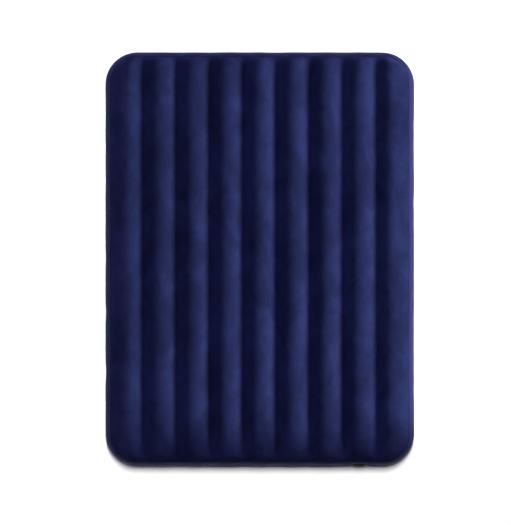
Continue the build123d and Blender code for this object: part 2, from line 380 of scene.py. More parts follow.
@dataclass(frozen=True)
class Plastic:
    """Rolled vinyl sheet, moulded plastic or soft rubber."""

    name: str
    shade: Colour
    roughness: float = 0.45
    cloudiness: float = 0.1
    scuff: float = 0.08
    scuff_roughness: float = 0.22
    grain_size: float = 900.0
    grain_depth: float = 0.00012
    cloud_size: float = 14.0
    specular: float = 0.4
    seal_pitch: float = 0.0
    seal_depth: float = 0.0004
    pucker_spacing: float = 0.0
    pucker_height: float = 0.003

    def build(self, effects: Effects) -> Material:
        """Make the material.

        Args:
            effects: the shared node groups.

        Returns:
            The material.
        """
        material, shader = blank_material(self.name)
        tree = material.node_tree
        marks = placed(
            tree, effects.grain, {"Grain Size": self.grain_size, "Cloud Size": self.cloud_size}
        )
        low, high = (
            tuple(c * part for c in self.shade)
            for part in (1 - self.cloudiness, 1 + self.cloudiness)
        )
        clouded = mixed(tree, marks["Cloud"], low, high)
        pale = tuple(c + (0.5 - c) * self.scuff for c in self.shade)
        roughest = min(1.0, self.roughness + self.scuff_roughness)
        inputs = {
            "Base Color": mixed(tree, marks["Scuff"], clouded, pale),
            "Roughness": ranged(tree, marks["Scuff"], self.roughness, roughest),
            "Specular IOR Level": self.specular,
            "Normal": self.relief(tree, effects, marks["Grain"]),
        }
        fill(tree, shader, inputs)
        return material

    def relief(self, tree: Tree, effects: Effects, grain: Socket) -> Socket:
        """Stand up the plastic's grain, a weld's ribs, or a stretched band's puckers and grain.

        Args:
            tree: the material's tree.
            effects: the shared node groups.
            grain: the grain's height.

        Returns:
            The normal's socket.
        """
        height, distance, strength = grain, self.grain_depth, 0.5
        if self.seal_pitch:
            height = placed(tree, effects.seal, {"Pitch": self.seal_pitch})["Height"]
            distance, strength = self.seal_depth, 0.6
        elif self.pucker_spacing:
            folds = placed(tree, effects.puckers, {"Spacing": self.pucker_spacing})["Height"]
            part = self.grain_depth / self.pucker_height
            height = maths(tree, "MULTIPLY_ADD", grain, part, folds)
            distance, strength = self.pucker_height, 0.6
        relief = {"Height": height, "Distance": distance, "Strength": strength}
        return add_node(tree, "Bump", relief)[0]


class Wardrobe:
    """Every finish of the mattress, built once."""

    NAVY_BAND: Colour = (0.0205, 0.027, 0.104)
    FINISHES: dict[Slot, Flock | Plastic] = {
        Slot.FLOCKED_TOP: Flock("navy_flock", (0.0208, 0.0272, 0.097), (0.3, 0.4, 1.0)),
        Slot.BAND_VINYL: Plastic(
            "navy_band_vinyl",
            NAVY_BAND,
            0.6,
            scuff=0.025,
            grain_size=520.0,
            grain_depth=0.0002,
            specular=0.03,
            pucker_spacing=0.03,
        ),
        Slot.BOTTOM_VINYL: Plastic(
            "navy_bottom_vinyl", (0.014, 0.018, 0.066), 0.5, grain_size=420.0, grain_depth=0.0003
        ),
        Slot.BEAM_VINYL: Plastic("navy_beam_vinyl", (0.017, 0.022, 0.085)),
        Slot.VALVE_PLASTIC: Plastic(
            "black_valve_plastic", (0.012, 0.013, 0.017), 0.42, specular=0.25
        ),
        Slot.CAP_PLASTIC: Plastic("grey_cap_plastic", (0.06, 0.066, 0.09), 0.4, scuff=0.06),
        Slot.RETAINER_PLASTIC: Plastic("grey_retainer_plastic", (0.05, 0.055, 0.08)),
        Slot.PIN_PLASTIC: Plastic("white_pin_plastic", (0.45, 0.45, 0.44), 0.3),
        Slot.SEAL_RUBBER: Plastic("grey_seal_rubber", (0.3, 0.3, 0.3), 0.75, specular=0.2),
    }
    WELDED = Plastic(
        "welded_band_vinyl", NAVY_BAND, scuff=0.025, specular=0.01, seal_pitch=0.0032
    )

    def __init__(self) -> None:
        """Build the node groups and a material for each slot."""
        effects = Effects(nap_group(), grain_group(), heat_seal_group(), pucker_group())
        self.materials = {slot: finish.build(effects) for slot, finish in self.FINISHES.items()}
        self.welded = self.WELDED.build(effects)

    def dress(self, piece: Piece, slot: Slot, material: Material | None = None) -> Piece:
        """Give a piece its finish: its slot's material, or another one given for it.

        Args:
            piece: the piece to dress.
            slot: the record's material slot.
            material: another finish for the same slot, if it has its own.

        Returns:
            The piece.
        """
        piece.data.materials.clear()
        piece.data.materials.append(material or self.materials[slot])
        return piece


# --------------------------------------------------------------------------------------- form tools


def piece_of(form: Form, name: str) -> Piece:
    """Make a smooth piece of a form, and free the form."""
    for face in form.faces:
        face.smooth = True
    mesh = bpy.data.meshes.new(name)
    form.to_mesh(mesh)
    form.free()
    piece = bpy.data.objects.new(name, mesh)
    bpy.context.scene.collection.objects.link(piece)
    return piece


def keep_region(form: Form, region: Region) -> None:
    """Delete every face of the inflated form outside one region."""
    mark = form.faces.layers.int["region"]
    others = [face for face in form.faces if face[mark] != region.value]
    bmesh.ops.delete(form, geom=others, context="FACES")


def rounded_off(form: Form, edges: list[bmesh.types.BMEdge], width: float, segments: int) -> None:
    """Round off some edges of a form."""
    bmesh.ops.bevel(
        form,
        geom=edges,
        offset=width,
        offset_type="OFFSET",
        segments=segments,
        profile=0.5,
        affect="EDGES",
        material=-1,
    )


def give_wall(form: Form, thickness: float) -> None:
    """Give a surface its wall, with every face outwards."""
    bmesh.ops.solidify(form, geom=list(form.faces), thickness=thickness)
    bmesh.ops.recalc_face_normals(form, faces=form.faces)


def extruded(form: Form, edges: list[bmesh.types.BMEdge]) -> tuple[list, list]:
    """Grow faces out of some edges, and return the new rim's edges and vertices."""
    grown = bmesh.ops.extrude_edge_only(form, edges=edges)["geom"]
    rim = [e for e in grown if isinstance(e, bmesh.types.BMEdge) and e.is_boundary]
    return rim, [v for v in grown if isinstance(v, bmesh.types.BMVert)]


# ----------------------------------------------------------------------------------- shape and skin


def arc_radius(half_chord: float, rise: float) -> float:
    """The radius of an arc, from its half chord and its rise."""
    return (half_chord**2 + rise**2) / (2 * rise)


def smooth_step(value: float, low: float, high: float) -> float:
    """Ease from 0 at the low value to 1 at the high value."""
    t = min(1.0, max(0.0, (value - low) / (high - low)))
    return t * t * (3 - 2 * t)


def soft_min(a: float, b: float, blend: float) -> float:
    """The lower of two values, rounded off where they cross, within a blend distance."""
    h = max(blend - abs(a - b), 0.0) / blend
    return min(a, b) - h * h * blend / 4


@dataclass
class MattressShape:
    """The sizes and the ideal surfaces of the inflated mattress."""

    channels: int = 9
    pitch: float = 0.1627
    length: float = 1.986
    corner: float = 0.133
    height: float = 0.220
    crown_rise: float = 0.030
    bottom_seam: float = 0.028
    bulge: float = 0.022
    half_weld: float = 0.004
    end_roll: float = 0.045
    side_roll: float = 0.62
    side_swell: float = 0.0042
    side_droop: float = 0.15
    edge_droop: float = 0.1
    edge_lift: float = 0.2
    scallop: float = 0.0039
    crest_power: float = 1.4
    half_width: float = field(init=False)
    half_length: float = field(init=False)
    top_seam: float = field(init=False)
    middle: float = field(init=False)
    half_wall: float = field(init=False)
    wall_arc: float = field(init=False)

    def __post_init__(self) -> None:
        """Work out what follows from the driving sizes."""
        self.half_width = self.channels * self.pitch / 2
        self.half_length = self.length / 2
        self.top_seam = self.height - self.crown_rise
        self.middle = (self.top_seam + self.bottom_seam) / 2
        self.half_wall = (self.top_seam - self.bottom_seam) / 2
        self.wall_arc = arc_radius(self.half_wall, self.bulge + self.half_weld)

    def on_sheet(self, z: float) -> bool:
        """Whether a height before bending is that of a sheet, rather than of the band."""
        return not self.bottom_seam + TINY <= z <= self.top_seam - TINY

    def inside(self, x: float, y: float) -> float:
        """How far a point lies inside the perimeter weld, in plan."""
        past_x = abs(x) - (self.half_width - self.corner)
        past_y = abs(y) - (self.half_length - self.corner)
        if past_x > 0 and past_y > 0:
            return self.corner - math.hypot(past_x, past_y)
        return min(self.corner - past_x, self.corner - past_y)

    def outward(self, x: float, y: float) -> Vector:
        """The direction straight out of the perimeter near a point, in plan."""
        core_x, core_y = self.half_width - self.corner, self.half_length - self.corner
        away = Vector((x - max(-core_x, min(core_x, x)), y - max(-core_y, min(core_y, y)), 0))
        return away.normalized()

    def rise(self, x: float, y: float) -> float:
        """How far the sheet stands above its seams at a point in plan."""
        depth = max(0.0, self.inside(x, y) - self.half_weld)
        sideways = self.outward(x, y).x ** 2
        short = max(0.0, 1 - depth / self.end_roll)
        far = max(0.0, 1 - depth / (self.side_roll * self.pitch))
        roll = math.sqrt(1 - short * short) ** (1 - sideways) * (1 - far * far) ** sideways
        droop = self.edge_droop * (1 - smooth_step(depth, 0.0, self.corner))
        droop += self.side_droop * sideways * (1 - smooth_step(depth, 0.0, 1.4 * self.pitch))
        lift = self.edge_lift * (1 - smooth_step(depth, 0.3 * self.end_roll, self.end_roll))
        wave = self.wave(x)
        return self.crown_rise * (wave + (1 - wave) * lift) * roll * (1 - droop)

    def wave(self, x: float) -> float:
        """The channels' own wave across the bed: 0 at a seam, 1 at a crest and out to the sides."""
        if abs(x) > self.half_width - self.pitch / 2:
            return 1.0
        across = (x / self.pitch + self.channels / 2) % 1.0 - 0.5
        chord = min(1.0, abs(across) * self.pitch / (self.pitch / 2 - self.half_weld))
        return (1 - chord * chord) ** self.crest_power

    def wall_out(self, z: float) -> float:
        """How far the band stands outside the perimeter weld at a height."""
        rise = min(abs(z - self.middle), self.half_wall)
        return self.bulge - self.wall_arc + math.sqrt(self.wall_arc**2 - rise**2)


@dataclass
class ValvePlace:
    """Where the valve sits in the foot end, and the moulded dish round it."""

    x: float = 0.4881
    z: float = 0.109
    floor: float = 1.006
    dish_radius: float = 0.046
    dish_edge: float = 0.0035
    hole_radius: float = 0.0279

    def depth_limit(self, radius: float) -> float:
        """How far out the dish lets the band stand at a radius from the valve's axis."""
        return self.floor + max(0.0, radius - self.dish_radius)

    def ring_radius(self, ring: float) -> float:
        """The radius of a ring of the band's grid, by its number from the valve's axis."""
        rings = (0.0, 0.014, self.hole_radius, 0.0375, self.dish_radius, 0.0555, 0.066, 0.081)
        low = min(len(rings) - 2, int(ring + 1e-4))
        part = ring - low
        return rings[low] * (1 - part) + rings[low + 1] * part


@dataclass
class Cloth:
    """How the skin's film behaves as it is blown up."""

    frames: int = 16
    pressure: float = 4.0
    film: dict[str, float] = field(
        default_factory=lambda: {
            "quality": 4,
            "mass": 0.3,
            "tension_stiffness": 40.0,
            "compression_stiffness": 40.0,
            "shear_stiffness": 12.0,
            "bending_stiffness": 4.0,
            "tension_damping": 10.0,
            "compression_damping": 10.0,
            "air_damping": 2.0,
            "shrink_min": -0.004,
            "pin_stiffness": 1.0,
        }
    )

    def moved(self, skin: Piece, group: str) -> list[Vector]:
        """Run the cloth under pressure.

        Args:
            skin: the closed skin.
            group: the vertex group that says how firmly each point is held.

        Returns:
            Where each point of the skin ends.
        """
        cloth = skin.modifiers.new("air", "CLOTH")
        for name, value in self.film.items():
            setattr(cloth.settings, name, value)
        cloth.settings.vertex_group_mass = group
        cloth.settings.use_pressure = True
        cloth.settings.uniform_pressure_force = self.pressure
        cloth.settings.effector_weights.gravity = 0.0
        cloth.collision_settings.use_collision = False
        cloth.collision_settings.use_self_collision = False
        cloth.point_cache.frame_start = 1
        cloth.point_cache.frame_end = self.frames
        scene = bpy.context.scene
        for number in range(1, self.frames + 1):
            scene.frame_set(number)
        blown = skin.evaluated_get(bpy.context.evaluated_depsgraph_get())
        places = [vertex.co.copy() for vertex in blown.to_mesh().vertices]
        blown.to_mesh_clear()
        skin.modifiers.remove(cloth)
        scene.frame_set(1)
        return places


@dataclass
class MattressSkin:
    """The inflated form, and the three sheets that are parted from it."""

    shape: MattressShape
    valve: ValvePlace
    wardrobe: Wardrobe
    cloth: Cloth = field(default_factory=Cloth)
    segments: int = 12
    weld_half: float = 0.003
    wall_rows: int = 14
    beam_end_gap: float = 0.048
    first_crumple: float = 0.0004
    most_move: float = 0.009
    easing: int = 6
    filling: float = 0.95
    lip_width: float = 0.0032
    lip_film: float = 0.0007
    lip_curl: float = 0.0004
    lip_trim: float = 0.0005
    lip_droop: float = 0.0018

    def columns(self) -> list[float]:
        """The x places of the grid's lines: each channel's segments, and a strip for each weld."""
        places: list[float] = []
        edge = self.shape.half_width - self.shape.half_weld
        for channel in range(self.shape.channels):
            left = self.shape.pitch * (channel - self.shape.channels / 2) + self.weld_half
            right = left + self.shape.pitch - 2 * self.weld_half
            left, right = max(left, -edge), min(right, edge)
            places += [left + (right - left) * i / self.segments for i in range(self.segments + 1)]
        return places

    def sheet(self, form: Form, region: Region) -> None:
        """Add a sheet's grid, in plan, at the height of its seams.

        Args:
            form: the form that takes the grid.
            region: the top or the bottom sheet.
        """
        columns = self.columns()
        edge = self.shape.half_length - self.shape.half_weld
        rows = round(2 * edge / (self.shape.pitch / self.segments))
        made = bmesh.ops.create_grid(
            form, x_segments=len(columns) - 1, y_segments=rows, size=1.0, calc_uvs=False
        )
        height = self.shape.top_seam if region is Region.TOP else self.shape.bottom_seam
        mark = form.faces.layers.int["region"]
        for vertex in made["verts"]:
            column = round((vertex.co.x + 1) / 2 * (len(columns) - 1))
            vertex.co = (*self.rounded(columns[column], vertex.co.y * edge), height)
        faces = {face for vertex in made["verts"] for face in vertex.link_faces}
        for face in faces:
            face[mark] = region.value
        if region is Region.BOTTOM:
            bmesh.ops.reverse_faces(form, faces=list(faces))

    def rounded(self, x: float, y: float) -> tuple[float, float]:
        """Carry a point of the square-cornered grid into the rounded plan."""
        radius = self.shape.corner - self.shape.half_weld
        core_x = self.shape.half_width - self.shape.corner
        core_y = self.shape.half_length - self.shape.corner
        s, t = (abs(x) - core_x) / radius, (abs(y) - core_y) / radius
        if s <= 0 or t <= 0:
            return x, y
        bent_s, bent_t = s * math.sqrt(1 - t * t / 2), t * math.sqrt(1 - s * s / 2)
        return (
            math.copysign(core_x + radius * bent_s, x),
            math.copysign(core_y + radius * bent_t, y),
        )

    def closed_form(self) -> Form:
        """Join a top grid and a bottom grid by a band, and bend them to the ideal shape.

        Returns:
            The form, with each face marked by its region.
        """
        form = bmesh.new()
        mark = form.faces.layers.int.new("region")
        self.sheet(form, Region.TOP)
        self.sheet(form, Region.BOTTOM)
        rims = [edge for edge in form.edges if edge.is_boundary]
        band = bmesh.ops.bridge_loops(form, edges=rims)
        for face in band["faces"]:
            face[mark] = Region.BAND.value
        upright = [edge for edge in band["edges"] if edge not in rims]
        bmesh.ops.subdivide_edges(form, edges=upright, cuts=self.wall_rows - 1, use_grid_fill=True)
        for face in form.faces:
            if face[mark] not in (Region.TOP.value, Region.BOTTOM.value):
                face[mark] = Region.BAND.value
        bmesh.ops.recalc_face_normals(form, faces=form.faces)
        self.bend(form)
        return form

    def bend(self, form: Form) -> None:
        """Raise the channels, drop the lower ones, bulge the band and sink the dish.

        Args:
            form: the flat-faced form.
        """
        shape = self.shape
        pinned = form.verts.layers.float.new("pinned")
        for vertex in form.verts:
            x, y, z = vertex.co
            if z > shape.top_seam - TINY:
                vertex.co.z = shape.top_seam + shape.rise(x, y)
            elif z < shape.bottom_seam + TINY:
                vertex.co.z = max(0.0, shape.bottom_seam - shape.rise(x, y))
            else:
                away = shape.outward(x, y)
                out = shape.wall_out(z) + shape.half_weld
                tall = (z - shape.middle) / (shape.top_seam - shape.middle)
                swell = shape.scallop * abs(tall) * (1 - tall * tall)
                out += swell * (shape.wave(x) - 0.5) * abs(away.y) ** 4
                out += shape.side_swell * away.x * away.x * (1 - tall * tall)
                vertex.co += away * out
                self.sink_dish(vertex)
            vertex[pinned] = self.hold(vertex.co, z)

    def sink_dish(self, vertex: bmesh.types.BMVert) -> None:
        """Draw the band's square rings round the valve into circles, and press the dish into them.

        Args:
            vertex: a vertex of the band, already bulged.
        """
        valve, shape = self.valve, self.shape
        step_x = (shape.pitch - 2 * self.weld_half) / self.segments
        step_z = 2 * shape.half_wall / self.wall_rows
        i, j = (vertex.co.x - valve.x) / step_x, (vertex.co.z - valve.z) / step_z
        ring = max(abs(i), abs(j))
        if vertex.co.y > 0 or ring > 7.2:
            return
        if abs(i) >= abs(j):
            turn = math.pi / 4 * (j / i if i else 0.0) + (math.pi if i < 0 else 0.0)
        else:
            turn = math.pi / 2 - math.pi / 4 * i / j + (math.pi if j < 0 else 0.0)
        square = Vector((i * step_x, j * step_z))
        circle = Vector((math.cos(turn), math.sin(turn))) * valve.ring_radius(ring)
        spot = circle.lerp(square, smooth_step(ring, 5.0, 7.0))
        height = valve.z + spot.y
        wall = shape.half_length + shape.wall_out(height)
        out = soft_min(wall, valve.depth_limit(spot.length), valve.dish_edge)
        vertex.co = Vector((valve.x + spot.x, -out, height))

    def hold(self, place: Vector, flat_height: float) -> float:
        """How firmly a vertex stays where it is as the form is blown up.

        Args:
            place: the vertex's bent place.
            flat_height: its height before it was bent.

        Returns:
            0 for free, 1 for held.
        """
        shape = self.shape
        if shape.on_sheet(flat_height):
            across = (place.x / shape.pitch + shape.channels / 2) % 1.0
            from_seam = min(across, 1 - across) * shape.pitch
            inner = abs(place.x) < shape.half_width - shape.pitch / 2
            on_beam = abs(place.y) < shape.half_length - self.beam_end_gap
            if inner and on_beam and from_seam < self.weld_half + 1e-4:
                return 1.0
            return 1.0 if shape.inside(place.x, place.y) < shape.half_weld + 1e-4 else 0.0
        if place.y < 0:
            near = math.hypot(place.x - self.valve.x, place.z - self.valve.z)
            return 1 - smooth_step(near, 0.075, 0.11)
        return 0.0

    def blow_up(self, skin: Piece) -> None:
        """Fill the form with air: a cloth run under pressure, held at its welds, then capped.

        Args:
            skin: the closed form's object, with its "pinned" attribute.
        """
        vertices = skin.data.vertices
        start = [vertex.co.copy() for vertex in vertices]
        holds = [value.value for value in skin.data.attributes["pinned"].data]
        group = skin.vertex_groups.new(name="held")
        for index, hold in enumerate(holds):
            if hold > 0:
                group.add([index], hold, "REPLACE")
        normals = [vertex.normal.copy() for vertex in vertices]
        for vertex, normal, hold in zip(vertices, normals, holds):
            vertex.co += normal * noise.noise(vertex.co * 11.0) * self.first_crumple * (1 - hold)
        blown = self.cloth.moved(skin, group.name)
        moves = [there - home for there, home in zip(blown, start)]
        for _ in range(self.easing):
            moves = self.eased(skin.data, moves, holds)
        for vertex, home, away, hold in zip(vertices, start, moves, holds):
            if away.length > self.most_move:
                away = away.normalized() * self.most_move
            place = home + away * (1 - hold)
            vertex.co = (place.x, place.y, max(0.0, place.z))

    def eased(self, mesh: bpy.types.Mesh, moves: list[Vector], holds: list[float]) -> list[Vector]:
        """Even out how far neighbouring points moved, so that no crumpling is left.

        Args:
            mesh: the mesh that moved.
            moves: each vertex's move.
            holds: how firmly each vertex is held.

        Returns:
            The evened moves.
        """
        sums = [move * 2 for move in moves]
        counts = [2] * len(moves)
        for edge in mesh.edges:
            a, b = edge.vertices
            sums[a] += moves[b]
            sums[b] += moves[a]
            counts[a] += 1
            counts[b] += 1
        return [total / count * (1 - hold) for total, count, hold in zip(sums, counts, holds)]

    def part(self, skin: Piece, region: Region, name: str) -> Piece:
        """Cut one sheet out of the inflated form.

        Args:
            skin: the inflated form.
            region: the faces to keep.
            name: the piece's name.

        Returns:
            The sheet, as a smooth piece of its own.
        """
        form = bmesh.new()
        form.from_mesh(skin.data)
        keep_region(form, region)
        if region is Region.BAND:
            hole = [face for face in form.faces if self.in_hole(face)]
            bmesh.ops.delete(form, geom=hole, context="FACES")
        piece = piece_of(form, name)
        smoother = piece.modifiers.new("smooth", "SUBSURF")
        smoother.levels = smoother.render_levels = 1
        return piece

    def in_hole(self, face: bmesh.types.BMFace) -> bool:
        """Whether a face of the band lies in the hole for the valve's neck."""
        place = face.calc_center_median()
        across = math.hypot(place.x - self.valve.x, place.z - self.valve.z)
        return place.y < 0 and across < self.valve.hole_radius

    def lip(self, skin: Piece, region: Region, name: str) -> Piece:
        """Draw the perimeter weld's lip out of the edge of one sheet.

        Args:
            skin: the inflated form.
            region: the sheet whose edge carries the lip.
            name: the piece's name.

        Returns:
            The lip, a closed ribbon all the way round.
        """
        form = bmesh.new()
        form.from_mesh(skin.data)
        keep_region(form, region)
        sheet = list(form.faces)
        fall = self.lip_droop / 2 * (-1 if region is Region.TOP else 1)
        edges = [edge for edge in form.edges if edge.is_boundary]
        for step in (1, 2):
            edges, vertices = extruded(form, edges)
            for vertex in vertices:
                away = self.shape.outward(vertex.co.x, vertex.co.y)
                curl = noise.noise(vertex.co * 9.0) * self.lip_curl * step
                trim = noise.noise(vertex.co * 23.0) * self.lip_trim * (step - 1)
                vertex.co += away * (self.lip_width / 2 + trim) + Vector((0, 0, curl + fall))
        bmesh.ops.delete(form, geom=sheet, context="FACES")
        bmesh.ops.recalc_face_normals(form, faces=form.faces)
        give_wall(form, self.lip_film)
        return piece_of(form, name)

    def build(self) -> list[Piece]:
        """Make the form, blow it up and part it into dressed sheets and lips.

        Returns:
            The three sheets and the two lips.
        """
        skin = piece_of(self.closed_form(), "inflated_form")
        began = time.monotonic()
        self.blow_up(skin)
        points = len(skin.data.vertices)
        log.info("inflated %d points in %.0f s", points, time.monotonic() - began)
        pieces = []
        for region, name, node, slot in (
            (Region.TOP, "flocked_top_sheet", "top_sheet", Slot.FLOCKED_TOP),
            (Region.BAND, "bulged_side_band", "side_band", Slot.BAND_VINYL),
            (Region.BOTTOM, "waved_bottom_sheet", "bottom_sheet", Slot.BOTTOM_VINYL),
        ):
            piece = self.wardrobe.dress(self.part(skin, region, name), slot)
            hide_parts(node)
            pieces.append(piece)
        for region, name in ((Region.TOP, "top_weld_lip"), (Region.BOTTOM, "bottom_weld_lip")):
            lip = self.lip(skin, region, name)
            pieces.append(self.wardrobe.dress(lip, Slot.BAND_VINYL, self.wardrobe.welded))
        for piece in pieces:
            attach(piece, Body.MATTRESS.value)
        bpy.data.objects.remove(skin)
        return pieces


# ---------------------------------------------------------------------------------------- the valve


@dataclass
class CarriedParts:
    """The moulded and welded pieces that show as their own solids."""

    wardrobe: Wardrobe
    slots: dict[str, Slot] = field(
        default_factory=lambda: {
            **{f"i_beam_{i}": Slot.BEAM_VINYL for i in range(1, 9)},
            "valve_patch": Slot.BAND_VINYL,
            "valve_base": Slot.VALVE_PLASTIC,
            "neck_loop": Slot.RETAINER_PLASTIC,
            "swivel_ring": Slot.RETAINER_PLASTIC,
            "valve_plug": Slot.VALVE_PLASTIC,
            "plug_gasket": Slot.SEAL_RUBBER,
            "port_seal": Slot.SEAL_RUBBER,
            "check_flap": Slot.SEAL_RUBBER,
            "flap_pin": Slot.PIN_PLASTIC,
        }
    )

    def build(self) -> list[Piece]:
        """Dress each carried solid, and return them."""
        nodes, dress = frame["nodes"], self.wardrobe.dress
        pieces = [dress(nodes[node], slot) for node, slot in self.slots.items()]
        dress(nodes["valve_patch"], Slot.BAND_VINYL, self.wardrobe.welded)
        return pieces


@dataclass
class ValveFittings:
    """The inflation cap's lid, and the valve's two soft straps.

    Heights along the valve's axis are measured outwards from the dish's floor.
    """

    valve: ValvePlace
    wardrobe: Wardrobe
    tether_width: float = 0.007
    tether_film: float = 0.0008
    tether_low: float = 0.00095
    tether_high: float = 0.006
    tether_joint: float = 0.0345
    tether_reach: float = 0.042
    strap_width: float = 0.010
    strap_film: float = 0.0006
    strap_low: float = 0.0088
    strap_start: float = 0.0151
    strap_end: float = 0.0265
    hinge: float = 0.0208
    hinge_arch: float = 0.0005
    hinge_length: float = 0.0012
    hinge_waist: float = 0.16
    lid_radius: float = 0.0206
    lid_low: float = 0.0073
    lid_high: float = 0.0088
    lid_steps: int = 96
    tab_width: float = 0.009
    tab_length: float = 0.0155
    tab_reach: float = 0.0275
    tab_low: float = 0.0091
    tab_high: float = 0.0100
    ribs: int = 4
    rib_pitch: float = 0.0013
    rib_half: float = 0.0003
    rib_rise: float = 0.00028

    def at(self, up: float, out: float, side: float = 0.0) -> Vector:
        """A point from its height over the valve's axis, its distance out and its side step."""
        return Vector((self.valve.x + side, -self.valve.floor - out, self.valve.z + up))

    def block(self, form: Form, low: Vector, high: Vector, edge: float, corner: float = 0) -> None:
        """Add a bar with rounded free corners and softened edges.

        Args:
            form: the form that takes the bar.
            low: its least side step, height and distance out.
            high: its greatest.
            edge: the radius of its edges.
            corner: the radius of its lower corners, seen along the axis.
        """
        before = set(form.verts)
        for vertex in bmesh.ops.create_cube(form, size=1.0)["verts"]:
            side, up, out = (a + (b - a) * (c + 0.5) for a, b, c in zip(low, high, vertex.co))
            vertex.co = self.at(up, out, side)
        if corner:
            lowest = self.valve.z + low[1] + TINY
            posts = [
                e
                for e in self.added_edges(form, before)
                if max(v.co.z for v in e.verts) < lowest
                and abs(e.verts[0].co.x - e.verts[1].co.x) < 1e-7
            ]
            rounded_off(form, posts, corner, 6)
        rims = [e for e in self.added_edges(form, before) if e.calc_face_angle(0.0) > 0.9]
        rounded_off(form, rims, edge, 2)

    def added_edges(self, form: Form, before: set[bmesh.types.BMVert]) -> list:
        """The edges whose ends aren't among the earlier vertices."""
        return [edge for edge in form.edges if before.isdisjoint(edge.verts)]

    def stand_in(self, form: Form, name: str, slot: Slot, node: str) -> Piece:
        """Make a dressed piece of a form, in place of a carried solid."""
        piece = self.wardrobe.dress(piece_of(form, name), slot)
        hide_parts(node)
        return piece

    def lid(self) -> Piece:
        """Turn the cap's lid with its raised rim and panel, and add the ribbed thumb tab.

        Returns:
            The lid.
        """
        form = bmesh.new()
        low, high, outer = self.lid_low, self.lid_high, self.lid_radius
        panel = ((0.0, high - 0.0004), (0.0150, high - 0.0004), (0.0156, high - 0.0001))
        groove = ((0.0160, high), (0.0186, high), (0.0190, high + 0.0002))
        rim = ((outer - 0.0005, high + 0.0002), (outer - 0.0001, high - 0.0002))
        side = ((outer, high - 0.0005), (outer, low + 0.0004), (outer - 0.0004, low), (0.0, low))
        turned = (*panel, *groove, *rim, *side)
        line = [form.verts.new(self.at(radius, out)) for radius, out in turned]
        chain = [form.edges.new(pair) for pair in zip(line, line[1:])]
        bmesh.ops.spin(
            form,
            geom=line + chain,
            cent=self.at(0.0, 0.0),
            axis=Vector((0, 1, 0)),
            angle=2 * math.pi,
            steps=self.lid_steps,
            use_merge=True,
            use_duplicate=False,
        )
        bmesh.ops.remove_doubles(form, verts=form.verts, dist=1e-6)
        bmesh.ops.dissolve_degenerate(form, edges=form.edges, dist=1e-7)
        half, root, tip = self.tab_width / 2, self.tab_length - self.tab_reach, -self.tab_reach
        near, far = self.tab_low, self.tab_high
        self.block(
            form, Vector((-half, tip, near)), Vector((half, root, far)), 0.00022, half * 0.66
        )
        foot = Vector((-half, -outer + 0.0012, high - 0.0004))
        self.block(form, foot, Vector((half, root, near + 0.0002)), 0.0001)
        for rib in range(self.ribs):
            place = tip + 0.0022 + rib * self.rib_pitch
            wide = half * (0.55 if rib == 0 else 0.72)
            least = Vector((-wide, place - self.rib_half, far - 0.0003))
            most = Vector((wide, place + self.rib_half, far + self.rib_rise))
            self.block(form, least, most, 0.00014)
        bmesh.ops.recalc_face_normals(form, faces=form.faces)
        for edge in form.edges:
            edge.smooth = edge.calc_face_angle(0.0) < 0.9
        piece = self.stand_in(form, "turned_cap_lid", Slot.CAP_PLASTIC, "inflation_cap")
        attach(piece, Body.CAP.value)
        return piece

    def thicken(self, form: Form, film: float) -> None:
        """Give a ribbon its thickness and rounded edges.

        Args:
            form: the ribbon's middle surface.
            film: the ribbon's thickness.
        """
        bmesh.ops.remove_doubles(form, verts=form.verts, dist=1e-6)
        bmesh.ops.recalc_face_normals(form, faces=form.faces)
        middle = {vertex: vertex.normal.copy() for vertex in form.verts}
        for vertex, normal in middle.items():
            vertex.co -= normal * film / 2
        give_wall(form, -film)
        sharp = [edge for edge in form.edges if edge.calc_face_angle(0.0) > 1.0]
        rounded_off(form, sharp, film * 0.3, 2)

    def tether(self) -> Piece:
        """Fold the strap that keeps the plug on the mattress: a leg, a round bend and a leg back.

        Returns:
            The strap.
        """
        half_film = self.tether_film / 2
        low, high = self.tether_low + half_film, self.tether_high - half_film
        bend = (high - low) / 2
        turn = -(self.tether_reach - half_film - bend)
        form = bmesh.new()
        across = [
            form.verts.new(self.at(turn, low, self.tether_width * (i / 4 - 0.5))) for i in range(5)
        ]
        line = [form.edges.new(pair) for pair in zip(across, across[1:])]
        made = bmesh.ops.spin(
            form,
            geom=across + line,
            cent=self.at(turn, low + bend),
            axis=Vector((1, 0, 0)),
            angle=-math.pi,
            steps=16,
            use_merge=False,
            use_duplicate=False,
        )["geom_last"]
        step = Vector((0, 0, (-self.tether_joint - turn) / 4))
        for edges in (line, [edge for edge in made if isinstance(edge, bmesh.types.BMEdge)]):
            for _ in range(4):
                edges = [
                    e
                    for e in extruded(form, edges)[0]
                    if abs(e.verts[0].co.z - e.verts[1].co.z) < 1e-7
                ]
                ends = {v for e in edges for v in e.verts}
                bmesh.ops.translate(form, verts=list(ends), vec=step)
        self.thicken(form, self.tether_film)
        piece = self.stand_in(form, "folded_plug_tether", Slot.RETAINER_PLASTIC, "plug_tether")
        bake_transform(piece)
        return piece

